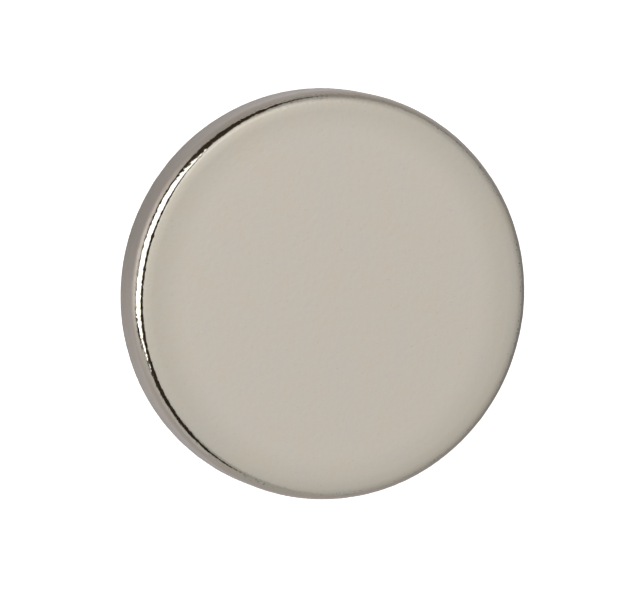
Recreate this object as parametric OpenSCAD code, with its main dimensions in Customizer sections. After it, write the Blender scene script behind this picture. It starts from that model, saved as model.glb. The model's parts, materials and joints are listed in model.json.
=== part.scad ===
// Nickel-plated disc magnet, lying on one pole face.
// Origin at the centre of the lower pole face, +Z along the axis of revolution.
// All sizes are in millimetres.

/* [Disc] */
// Diameter over the plating, measured across the straight rim
diameter = 20; // [10:0.5:60]
// Thickness from pole face to pole face
thickness = 3; // [2:0.25:10]

/* [Tumbled edges] */
// Radius of the rounded edge between a pole face and the rim
edge_radius = 0.6; // [0.2:0.05:0.8]
// Width of the ring in which a pole face falls away before the rounded edge's centre
rolloff_width = 0.4; // [0.1:0.05:1]
// Depth to which the pole face falls away in that ring
rolloff_drop = 0.016; // [0.004:0.002:0.04]

/* [Smoothness] */
// Facets of a full turn about the axis
turn_facets = 240; // [60:20:360]
// Facets of a full circle in the section
arc_facets = 360; // [60:20:720]

/* [Hidden] */

plating_color = [0.76, 0.73, 0.68];

radius = diameter / 2;
// Radius of the truly flat part of a pole face
flat_radius = radius - edge_radius - rolloff_width;
// Distance between the centres of the roll-off arc and the edge arc, which meet in one tangent
centre_step = (rolloff_width * rolloff_width + rolloff_drop * rolloff_drop) / (2 * rolloff_drop);
rolloff_radius = edge_radius + centre_step;
// Radius at which the roll-off ends and the rounded edge begins
edge_start_radius = flat_radius + rolloff_radius * rolloff_width / centre_step;
// Heights between which the rim is straight; the edge arcs are centred at the same heights
rim_bottom = edge_radius + rolloff_drop;
rim_top = thickness - rim_bottom;
// How far the masks of the arcs reach past the section
mask_margin = 1;

// Rectangle given by its corners, so that neighbours share their edge to the last digit
module span(r_from, r_to, z_from, z_to) {
    polygon([[r_from, z_from], [r_to, z_from], [r_to, z_to], [r_from, z_to]]);
}

// Middle of the section, where both pole faces are flat
module flat_core() {
    span(0, flat_radius, 0, thickness);
}

// Ring in which both faces fall away on their roll-off arcs
module rolloff_ring() {
    intersection() {
        translate([flat_radius, thickness - rolloff_radius])
            circle(r = rolloff_radius, $fn = arc_facets);
        translate([flat_radius, rolloff_radius])
            circle(r = rolloff_radius, $fn = arc_facets);
        span(flat_radius, edge_start_radius, -mask_margin, thickness + mask_margin);
    }
}

// Upper rounded edge, down to the straight rim
module edge_arc() {
    intersection() {
        translate([radius - edge_radius, rim_top])
            circle(r = edge_radius, $fn = arc_facets);
        span(edge_start_radius, radius + mask_margin, rim_top, thickness + mask_margin);
    }
}

// Rim: the straight land between two equal rounded edges
module rim_ring() {
    span(edge_start_radius, radius, rim_bottom, rim_top);
    edge_arc();
    translate([0, thickness])
        mirror([0, 1])
            edge_arc();
}

module section() {
    flat_core();
    rolloff_ring();
    rim_ring();
}

// The whole magnet is one sintered and plated piece
module disc_magnet() {
    color(plating_color)
        rotate_extrude($fn = turn_facets)
            section();
}

disc_magnet();
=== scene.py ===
import json
import math

import bpy
import numpy as np
from mathutils import Matrix, Vector


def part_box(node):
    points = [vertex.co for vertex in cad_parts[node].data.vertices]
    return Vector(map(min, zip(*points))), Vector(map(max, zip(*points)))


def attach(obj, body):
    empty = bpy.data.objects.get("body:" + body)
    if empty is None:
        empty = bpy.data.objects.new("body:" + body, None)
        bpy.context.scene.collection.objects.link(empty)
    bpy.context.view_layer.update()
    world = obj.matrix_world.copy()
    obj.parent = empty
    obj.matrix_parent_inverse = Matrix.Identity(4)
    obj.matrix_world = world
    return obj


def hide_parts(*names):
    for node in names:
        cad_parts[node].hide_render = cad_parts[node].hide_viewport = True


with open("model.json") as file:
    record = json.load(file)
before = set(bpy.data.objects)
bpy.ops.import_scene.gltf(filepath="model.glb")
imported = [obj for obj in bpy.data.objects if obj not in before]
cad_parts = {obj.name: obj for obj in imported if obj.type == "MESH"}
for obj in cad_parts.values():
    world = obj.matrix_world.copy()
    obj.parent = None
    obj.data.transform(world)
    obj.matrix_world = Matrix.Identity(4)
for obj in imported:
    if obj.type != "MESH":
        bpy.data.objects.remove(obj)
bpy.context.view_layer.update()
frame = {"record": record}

# A nickel-plated disc magnet lying on a pale table inside a light tent.
# Lengths are metres and angles degrees. A direction is (azimuth from +X, zenith from +Z).

scene = bpy.context.scene
mm = 0.001

lowCorner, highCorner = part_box("disc_magnet")
discRadius = (highCorner.x - lowCorner.x) / 2
discThickness = highCorner.z - lowCorner.z
discMiddle = (lowCorner + highCorner) / 2
rimMount = next(mount for mount in frame["record"]["mounts"] if mount["name"] == "rim")
rimLand = rimMount["dims"]["length_mm"] * mm  # height of the straight part of the rim


def directionTo(azimuth, zenith):
    # unit vector (sin zenith cos azimuth, sin zenith sin azimuth, cos zenith)
    turn, lean = math.radians(azimuth), math.radians(zenith)
    return Vector((math.sin(lean) * math.cos(turn), math.sin(lean) * math.sin(turn), math.cos(lean)))


cameraSettings = {
    "lean": (163.05, 17.48),  # the side it leans to, where the rim shows, and how far
    "distance": 333.3 * mm,
    "sensorWidth": 36.0,      # in millimetres, as camera data has it
    "viewWidth": 31.19 * mm,  # width of the view at the magnet
    "aimRight": -0.166 * mm,  # the magnet sits a little right of and above the middle
    "aimUp": -0.358 * mm,
    "nearest": 10 * mm,       # what lies closer or farther than this isn't seen
    "farthest": 10.0,
}


def makeCamera(settings):
    # looks at the aim point from its lean, with world +Y upright in the view
    data = bpy.data.cameras.new("camera")
    data.sensor_width = settings["sensorWidth"]
    data.lens = settings["sensorWidth"] * settings["distance"] / settings["viewWidth"]
    data.clip_start = settings["nearest"]
    data.clip_end = settings["farthest"]
    camera = bpy.data.objects.new("camera", data)
    scene.collection.objects.link(camera)
    back = directionTo(*settings["lean"])
    right = Vector((0, 1, 0)).cross(back).normalized()
    turn = Matrix((right, back.cross(right), back)).transposed()
    aim = discMiddle + turn @ Vector((settings["aimRight"], settings["aimUp"], 0))
    camera.matrix_world = Matrix.Translation(aim + back * settings["distance"]) @ turn.to_4x4()
    scene.camera = camera


makeCamera(cameraSettings)
print("camera made")


def newTree(owner):
    # the emptied node tree of a material or world
    owner.use_nodes = True
    owner.node_tree.nodes.clear()
    return owner.node_tree


def addNode(tree, kind, **values):
    # a node with its properties and sockets set by name; a value that is a socket is linked
    node = tree.nodes.new(kind)
    for key, value in values.items():
        if hasattr(node, key):
            setattr(node, key, value)
            continue
        socket = node.inputs[key.replace("_", " ")]
        if isinstance(value, bpy.types.NodeSocket):
            tree.links.new(value, socket)
        else:
            socket.default_value = value
    return node


def addMath(tree, kind, operation, *values):
    # a math, vector math or shader mixing node, with its sockets set or linked in order
    node = addNode(tree, kind)
    if operation:
        node.operation = operation
    for socket, value in zip(node.inputs, values):
        if isinstance(value, bpy.types.NodeSocket):
            tree.links.new(value, socket)
        else:
            socket.default_value = value
    return node


def addRange(tree, value, fromMin, fromMax, toMin, toMax, smooth=False):
    # the value carried from one range to the other, straight or as a smooth step
    node = addNode(tree, "ShaderNodeMapRange", Value=value, From_Min=fromMin, From_Max=fromMax,
                   To_Min=toMin, To_Max=toMax,
                   interpolation_type="SMOOTHSTEP" if smooth else "LINEAR")
    return node.outputs["Result"]


def addLobes(tree, way, base, lobes):
    # base, plus for each lobe: rise * (way . the lobe's direction, or 0 if behind it) ^ fall
    total = base
    for azimuth, zenith, rise, fall in lobes:
        along = addMath(tree, "ShaderNodeVectorMath", "DOT_PRODUCT", way,
                        directionTo(azimuth, zenith))
        ahead = addMath(tree, "ShaderNodeMath", "MAXIMUM", along.outputs["Value"], 0.0)
        lobe = addMath(tree, "ShaderNodeMath", "POWER", ahead.outputs["Value"], fall)
        total = addMath(tree, "ShaderNodeMath", "MULTIPLY_ADD", lobe.outputs["Value"], rise,
                        total).outputs["Value"]
    return total


magnetSettings = {
    "edgeRadius": 0.6 * mm,
    "rolloffWidth": 0.4 * mm,
    "turnSteps": 1200,
    "flatSteps": 6,
    "rolloffSteps": 8,
    "edgeSteps": 20,
    "landSteps": 10,
    "seed": 7,
    # unevenness left by tumbling: wavelength, height and number of waves in each band
    "waves": [(3.2 * mm, 2.0e-6, 14), (1.1 * mm, 1.6e-6, 20), (0.46 * mm, 1.5e-6, 30),
              (0.2 * mm, 2.0e-6, 48)],
    "faceShare": 0.02,         # how much of it reaches the lapped faces
    "nicks": 240,              # small knocks around both edges
    "nickRadius": (0.04 * mm, 0.07 * mm),
    "nickDepth": (2.0e-6, 8.0e-6),
    "nickPower": 3,            # the higher, the fewer deep ones
}


def magnetProfile(settings):
    # Half outline from the upper pole to the lower one, as radius, height and tilt of the
    # normal. The face is flat to flatRadius, falls on an arc of rolloffRadius, turns on an arc
    # of edgeRadius until its normal lies level, and runs straight down the land; then mirrored.
    edge = settings["edgeRadius"]
    width = settings["rolloffWidth"]
    drop = (discThickness - rimLand) / 2 - edge
    step = (width * width + drop * drop) / (2 * drop)
    rolloffRadius = edge + step
    slope = math.asin(width / step)
    flatRadius = discRadius - edge - width
    flatR = flatRadius * np.sqrt(np.linspace(0, 1, settings["flatSteps"] + 1)[1:])
    rollT = np.linspace(0, slope, settings["rolloffSteps"] + 1)[1:]
    edgeT = np.linspace(slope, math.pi / 2, settings["edgeSteps"] + 1)[1:]
    rollR = flatRadius + rolloffRadius * np.sin(rollT)
    rollZ = discThickness - rolloffRadius * (1 - np.cos(rollT))
    edgeR = discRadius - edge + edge * np.sin(edgeT)
    edgeZ = discThickness - drop - edge * (1 - np.cos(edgeT))
    upperR = np.concatenate((flatR, rollR, edgeR))
    upperZ = np.concatenate((np.full_like(flatR, discThickness), rollZ, edgeZ))
    upperT = np.concatenate((np.zeros_like(flatR), rollT, edgeT))
    landZ = np.linspace(edgeZ[-1], discThickness - edgeZ[-1], settings["landSteps"] + 1)[1:-1]
    radius = np.concatenate((upperR, np.full_like(landZ, discRadius), upperR[::-1]))
    height = np.concatenate((upperZ, landZ, discThickness - upperZ[::-1]))
    tilt = np.concatenate((upperT, np.full_like(landZ, math.pi / 2), math.pi - upperT[::-1]))
    return radius, height, tilt


def waveField(points, waves, rng):
    # height at each point: for each band, a sum of sines of (wave vector . point + phase),
    # with wave vectors of one length in random directions
    total = np.zeros(points.shape[:-1])
    for wavelength, height, count in waves:
        vectors = rng.normal(size=(count, 3))
        vectors *= 2 * math.pi / wavelength / np.linalg.norm(vectors, axis=1, keepdims=True)
        phases = rng.uniform(0, 2 * math.pi, count)
        total += height * np.sqrt(2 / count) * np.sin(points @ vectors.T + phases).sum(-1)
    return total


def nickField(points, settings, rng):
    # depth at each point: a sum of round dents, depth * exp(-(distance / radius) ^ 2), whose
    # middles lie at random turns around the two rounded edges
    count = settings["nicks"]
    turn = rng.uniform(0, 2 * math.pi, count)
    lean = rng.uniform(0, math.pi / 2, count)
    upper = rng.integers(0, 2, count)
    edge = settings["edgeRadius"]
    reach = discRadius - edge + edge * np.sin(lean)
    inset = edge * (1 - np.cos(lean))
    height = np.where(upper == 1, discThickness - inset, inset)
    middles = np.stack((reach * np.cos(turn), reach * np.sin(turn), height), -1)
    radius = rng.uniform(*settings["nickRadius"], count)
    least, most = settings["nickDepth"]
    depth = least + (most - least) * rng.uniform(0, 1, count) ** settings["nickPower"]
    total = np.zeros(points.shape[:-1])
    for middle, size, deep in zip(middles, radius, depth):
        squared = ((points - middle) ** 2).sum(-1)
        total += deep * np.exp(-squared / size ** 2)
    return total


def makeMagnet(settings):
    # Surface of revolution over (profile step, turn angle): (r cos a, r sin a, z), sunk along
    # its normal by the waves, which are strongest on the rounded edges, and by the nicks.
    radius, height, tilt = magnetProfile(settings)
    rng = np.random.default_rng(settings["seed"])
    angle = np.linspace(0, 2 * math.pi, settings["turnSteps"], endpoint=False)
    cosA, sinA = np.cos(angle), np.sin(angle)
    points = np.stack((radius[:, None] * cosA, radius[:, None] * sinA,
                       height[:, None] + 0 * angle), -1)
    normals = np.stack((np.sin(tilt)[:, None] * cosA, np.sin(tilt)[:, None] * sinA,
                        np.cos(tilt)[:, None] + 0 * angle), -1)
    share = settings["faceShare"] + (1 - settings["faceShare"]) * np.sin(tilt)
    waves = waveField(points, settings["waves"], rng)
    sunk = (waves - waves.max()) * share[:, None] - nickField(points, settings, rng)
    points = points + normals * sunk[..., None]
    points[..., :2] += np.array(discMiddle)[:2]
    rings, turns = radius.size, settings["turnSteps"]
    poles = np.stack((points[0].mean(0), points[-1].mean(0)))
    vertices = np.concatenate((points.reshape(-1, 3), poles))
    here = np.arange(turns)
    after = (here + 1) % turns
    row = np.arange(rings - 1)[:, None] * turns
    quads = np.stack((row + here, row + turns + here, row + turns + after, row + after), -1)
    top, bottom, lastRow = rings * turns, rings * turns + 1, (rings - 1) * turns
    capTop = np.stack((np.full(turns, top), here, after), -1)
    capBottom = np.stack((np.full(turns, bottom), lastRow + after, lastRow + here), -1)
    faces = quads.reshape(-1, 4).tolist() + capTop.tolist() + capBottom.tolist()
    mesh = bpy.data.meshes.new("nickelDisc")
    mesh.from_pydata(vertices.tolist(), [], faces)
    mesh.polygons.foreach_set("use_smooth", np.ones(len(mesh.polygons), bool))
    mesh.update()
    disc = bpy.data.objects.new("nickelDisc", mesh)
    scene.collection.objects.link(disc)
    return disc


nickelSettings = {
    "warm": (0.738, 0.662, 0.556, 1),
    "cool": (0.709, 0.661, 0.596, 1),
    "dullAndShade": (0.893, 0.905, 0.89, 1),  # what the edges and rim keep of that colour: partly duller tumbled plating, partly painted shade for the darker table the rim mirrors
    "dullAndShadeStretch": (1.06, 1, 0),      # sooner towards +X and -X
    "dullAndShadeFrom": 7.7 * mm,
    "dullAndShadeTo": 9.6 * mm,
    # each noise as size, detail and roughness
    "clouds": (2.0 * mm, 6.0, 0.8),
    "grain": (0.12 * mm, 2.0, 0.6),
    "peel": (0.3 * mm, 1.0, 0.5),
    "pits": (0.1 * mm, 1.0, 0.5),
    "middleRange": (0.3, 0.7),        # the part of a noise that is stretched from 0 to 1
    "pitRing": 9.7 * mm,              # painted shade of fine pits where the edge turns down
    "pitReach": 0.12 * mm,
    "pitPatches": (0.46, 0.56),       # in patches of the clouds
    "pitRange": (0.57, 0.65),
    "pitPaintedShade": 0.35,                 # how bright the painted shade of the deepest pit stays
    "speckRange": (0.70, 0.76),       # sparse painted-shade pinpoints of the same noise all over
    "speckShadeShare": 0.2,
    "rough": (0.07, 0.13),
    "peelDepth": 3.0e-6,
    "grainDepth": 1.2e-6,
    "edgeGrainDepth": 3.6e-6,         # coarser once the edge turns down
    "edgeGrainFrom": 9.3 * mm,
    "edgeGrainTo": 9.6 * mm,
}


def addNoise(tree, place, size, detail, roughness):
    node = addNode(tree, "ShaderNodeTexNoise", Vector=place, Scale=1 / size, Detail=detail,
                   Roughness=roughness)
    return node.outputs["Fac"]


def makeNickel(settings):
    # warm metal with cool clouds, darker towards the edges and rim (duller plating and painted
    # shade), with painted shade of pits and pinpoints
    material = bpy.data.materials.new("brightNickel")
    tree = newTree(material)
    place = addNode(tree, "ShaderNodeTexCoord").outputs["Object"]
    clouds = addNoise(tree, place, *settings["clouds"])
    grain = addNoise(tree, place, *settings["grain"])
    peel = addNoise(tree, place, *settings["peel"])
    pits = addNoise(tree, place, *settings["pits"])

    flatPlace = addMath(tree, "ShaderNodeVectorMath", "MULTIPLY", place, (1, 1, 0))
    reach = addMath(tree, "ShaderNodeVectorMath", "LENGTH",
                    flatPlace.outputs["Vector"]).outputs["Value"]
    # darker towards the edges and rim, sooner along X: partly duller plating, partly painted shade
    dullAndShadePlace = addMath(tree, "ShaderNodeVectorMath", "MULTIPLY", place, settings["dullAndShadeStretch"])
    dullAndShadeReach = addMath(tree, "ShaderNodeVectorMath", "LENGTH",
                        dullAndShadePlace.outputs["Vector"]).outputs["Value"]
    dullAndShadeShare = addRange(tree, dullAndShadeReach, settings["dullAndShadeFrom"], settings["dullAndShadeTo"], 0.0, 1.0,
                         smooth=True)

    # painted shade of pits: a ring where the edge turns down, in patches of the clouds, and sparse
    # pinpoints all over
    fromRing = addMath(tree, "ShaderNodeMath", "SUBTRACT", reach, settings["pitRing"])
    ringGap = addMath(tree, "ShaderNodeMath", "ABSOLUTE", fromRing.outputs["Value"])
    ringShare = addRange(tree, ringGap.outputs["Value"], 0.0, settings["pitReach"], 1.0, 0.0)
    patchShare = addRange(tree, clouds, *settings["pitPatches"], 0.0, 1.0)
    where = addMath(tree, "ShaderNodeMath", "MULTIPLY", ringShare, patchShare)
    pitShare = addRange(tree, pits, *settings["pitRange"], 0.0, 1.0)
    ringPitShade = addMath(tree, "ShaderNodeMath", "MULTIPLY", where.outputs["Value"], pitShare)
    speckShadeShare = addRange(tree, pits, *settings["speckRange"], 0.0, settings["speckShadeShare"])
    paintedPitShade = addMath(tree, "ShaderNodeMath", "MAXIMUM", ringPitShade.outputs["Value"], speckShadeShare)
    shade = addRange(tree, paintedPitShade.outputs["Value"], 0.0, 1.0, 1.0, settings["pitPaintedShade"])

    cloudShare = addRange(tree, clouds, *settings["middleRange"], 0.0, 1.0)
    tint = addNode(tree, "ShaderNodeMixRGB", Fac=cloudShare, Color1=settings["warm"],
                   Color2=settings["cool"])
    dulledAndShaded = addNode(tree, "ShaderNodeMixRGB", blend_type="MULTIPLY", Fac=dullAndShadeShare,
                     Color1=tint.outputs["Color"], Color2=settings["dullAndShade"])
    shaded = addMath(tree, "ShaderNodeVectorMath", "MULTIPLY", dulledAndShaded.outputs["Color"], shade)
    rough = addRange(tree, grain, *settings["middleRange"], *settings["rough"])

    peelBump = addNode(tree, "ShaderNodeBump", Strength=1.0, Distance=settings["peelDepth"],
                       Height=peel)
    grainDepth = addRange(tree, reach, settings["edgeGrainFrom"], settings["edgeGrainTo"],
                          settings["grainDepth"], settings["edgeGrainDepth"])
    grainBump = addNode(tree, "ShaderNodeBump", Strength=1.0, Distance=grainDepth, Height=grain,
                        Normal=peelBump.outputs["Normal"])
    shader = addNode(tree, "ShaderNodeBsdfPrincipled", Metallic=1.0,
                     Base_Color=shaded.outputs["Vector"], Roughness=rough,
                     Normal=grainBump.outputs["Normal"])
    addNode(tree, "ShaderNodeOutputMaterial", Surface=shader.outputs["BSDF"])
    return material


magnet = makeMagnet(magnetSettings)
magnet.data.materials.append(makeNickel(nickelSettings))
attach(magnet, "root")
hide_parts("disc_magnet")
print("magnet made:", len(magnet.data.polygons), "faces")

tableSettings = {
    "halfSize": 3.0,
    "paper": (0.90, 0.90, 0.90, 1),
    "paperGlow": 0.75,          # lifts the paper to a clean white around the magnet
    "nearRadius": 10.6 * mm,
    "farRadius": 17.0 * mm,
    # How grey the plating mirrors the paper, as painted light and shade, near to it and
    # farther off: a plain tone, and lighter or darker lobes as azimuth, zenith, rise and fall.
    # painted contact shadow beside the magnet, deepest on the side away from the softbox
    "nearPaintedTone": 0.55,
    "nearPaintedLobes": [(155, 90, -0.14, 6), (-8, 90, -0.33, 4), (70, 90, 0.1, 8)],
    # painted pool of light towards the softbox, painted shadow under a flag and on the far side
    "farPaintedTone": 0.50,
    "farPaintedLobes": [(167, 90, 0.38, 8), (118, 90, -0.07, 20), (-10, 90, -0.18, 2)],
    "cast": (1.03, 0.986, 1.01),  # its slight colour
}


def makeTable(settings):
    # A square of paper. The camera sees it white. The plating sees it greyer, with painted light
    # and shade, from the near tone beside the magnet to the far tone beyond farRadius.
    half = settings["halfSize"]
    mesh = bpy.data.meshes.new("table")
    mesh.from_pydata([(-half, -half, 0), (half, -half, 0), (half, half, 0), (-half, half, 0)],
                     [], [(0, 1, 2, 3)])
    table = bpy.data.objects.new("table", mesh)
    scene.collection.objects.link(table)
    material = bpy.data.materials.new("palePaper")
    tree = newTree(material)
    place = addNode(tree, "ShaderNodeTexCoord").outputs["Object"]
    away = addMath(tree, "ShaderNodeVectorMath", "LENGTH", place)
    way = addMath(tree, "ShaderNodeVectorMath", "NORMALIZE", place).outputs["Vector"]
    near = addLobes(tree, way, settings["nearPaintedTone"], settings["nearPaintedLobes"])
    far = addLobes(tree, way, settings["farPaintedTone"], settings["farPaintedLobes"])
    # painted light and shade on the paper, seen only in the plating's reflections
    paintedGrey = addRange(tree, away.outputs["Value"], settings["nearRadius"], settings["farRadius"],
                    near, far)
    mirrored = addMath(tree, "ShaderNodeVectorMath", "MULTIPLY", paintedGrey, settings["cast"])
    unseen = addNode(tree, "ShaderNodeBsdfDiffuse", Color=mirrored.outputs["Vector"])
    seen = addNode(tree, "ShaderNodeBsdfDiffuse", Color=settings["paper"])
    glow = addNode(tree, "ShaderNodeEmission", Strength=settings["paperGlow"])
    lifted = addMath(tree, "ShaderNodeAddShader", None, seen.outputs[0], glow.outputs[0])
    path = addNode(tree, "ShaderNodeLightPath")
    either = addMath(tree, "ShaderNodeMixShader", None, path.outputs["Is Camera Ray"],
                     unseen.outputs[0], lifted.outputs[0])
    addNode(tree, "ShaderNodeOutputMaterial", Surface=either.outputs[0])
    material.cycles.emission_sampling = "NONE"
    mesh.materials.append(material)


makeTable(tableSettings)

tentSettings = {
    "brightWay": (162, 20),             # the tent is lightest this way
    "across": 0.48,                     # its brightness square to that
    "rise": 0.23,                       # and how much more it has along it
    "roofLobes": [(94, 13, 0.44, 18)],  # a lighter patch: azimuth, zenith, rise and fall
}

white = (1, 1, 1, 1)
brown = (1, 0.72, 0.48, 1)

# Cards hung in the tent: brightness, tone, distance, whether they light the table, and corners
# as directions from the magnet. A nearer card hides a farther one. The softbox makes the white
# band on the edge, the dark cards the lines beside it, and the grey ones the tone around it.
cards = {
    "softbox": (2.6, white, 0.6, True, [(113, 31), (137, 64), (188, 76.5), (212.5, 51.5)]),
    "lensGap": (0.03, brown, 0.7, False, [(112, 25), (130, 12), (150, 7), (180, 6), (195, 8),
                                          (212, 14), (215, 40), (190, 45), (150, 35),
                                          (114, 30)]),
    "lowerFlag": (0.03, brown, 0.71, False, [(210, 14), (225, 22), (240, 29), (252, 40),
                                             (261, 45), (266, 49), (260, 55), (240, 61),
                                             (222, 61), (205, 61), (195, 40)]),
    "upperFlag": (0.036, brown, 0.72, False, [(74, 66), (86, 59), (96, 46), (106, 35), (117, 30),
                                             (135, 50), (125, 79), (105, 75), (88, 71),
                                             (74, 69)]),
    "outerStrip": (0.02, brown, 0.73, False, [(125, 55), (120, 80), (150, 79), (180, 79),
                                              (196, 85), (203, 78), (203, 57), (165, 55)]),
    "paleWall": (0.58, white, 0.76, False, [(205, 64), (246, 64), (246, 90), (205, 90)]),
    "lowWall": (0.35, white, 0.78, False, [(92, 79), (128, 81), (128, 90), (92, 90)]),
    "greySkirt": (0.46, white, 0.9, False, [(247, 28), (262, 27), (278, 34), (284, 56),
                                            (290, 90), (250, 90), (247, 64)]),
    "greyWall": (0.36, white, 1.1, False, [(5, 86), (30, 78), (55, 66), (75, 56), (90, 52),
                                           (90, 90), (20, 90), (5, 90)]),
    "greyShoulder": (0.48, white, 1.2, False, [(50, 56), (60, 48), (75, 42), (90, 37),
                                               (105, 33), (112, 32), (112, 50), (90, 62),
                                               (60, 70), (50, 66)]),
}


def makeTent(settings):
    # brightness along a direction d: across + rise * (d . brightWay), and the roof's lobes;
    # the camera itself sees plain white
    world = bpy.data.worlds.new("tent")
    scene.world = world
    tree = newTree(world)
    way = addNode(tree, "ShaderNodeTexCoord").outputs["Generated"]
    along = addMath(tree, "ShaderNodeVectorMath", "DOT_PRODUCT", way,
                    directionTo(*settings["brightWay"]))
    walls = addMath(tree, "ShaderNodeMath", "MULTIPLY_ADD", along.outputs["Value"],
                    settings["rise"], settings["across"])
    glow = addLobes(tree, way, walls.outputs["Value"], settings["roofLobes"])
    inside = addNode(tree, "ShaderNodeBackground", Color=white, Strength=glow)
    plain = addNode(tree, "ShaderNodeBackground", Color=white, Strength=1.0)
    path = addNode(tree, "ShaderNodeLightPath")
    either = addMath(tree, "ShaderNodeMixShader", None, path.outputs["Is Camera Ray"],
                     inside.outputs[0], plain.outputs[0])
    addNode(tree, "ShaderNodeOutputWorld", Surface=either.outputs[0])


def makeCard(name, brightness, tone, distance, lightsTable, corners):
    # a flat-sided card whose corners lie in the given directions, unseen by the camera
    mesh = bpy.data.meshes.new(name)
    points = [tuple(directionTo(*corner) * distance) for corner in corners]
    mesh.from_pydata(points, [], [tuple(range(len(points)))])
    material = bpy.data.materials.new(name)
    tree = newTree(material)
    glow = addNode(tree, "ShaderNodeEmission", Color=tone, Strength=brightness)
    addNode(tree, "ShaderNodeOutputMaterial", Surface=glow.outputs[0])
    material.cycles.emission_sampling = "FRONT_BACK" if lightsTable else "NONE"
    mesh.materials.append(material)
    card = bpy.data.objects.new(name, mesh)
    scene.collection.objects.link(card)
    card.visible_camera = False
    card.visible_diffuse = lightsTable
    card.visible_shadow = False


makeTent(tentSettings)
for cardName, card in cards.items():
    makeCard(cardName, *card)
scene.view_settings.view_transform = "Standard"
print("light made")
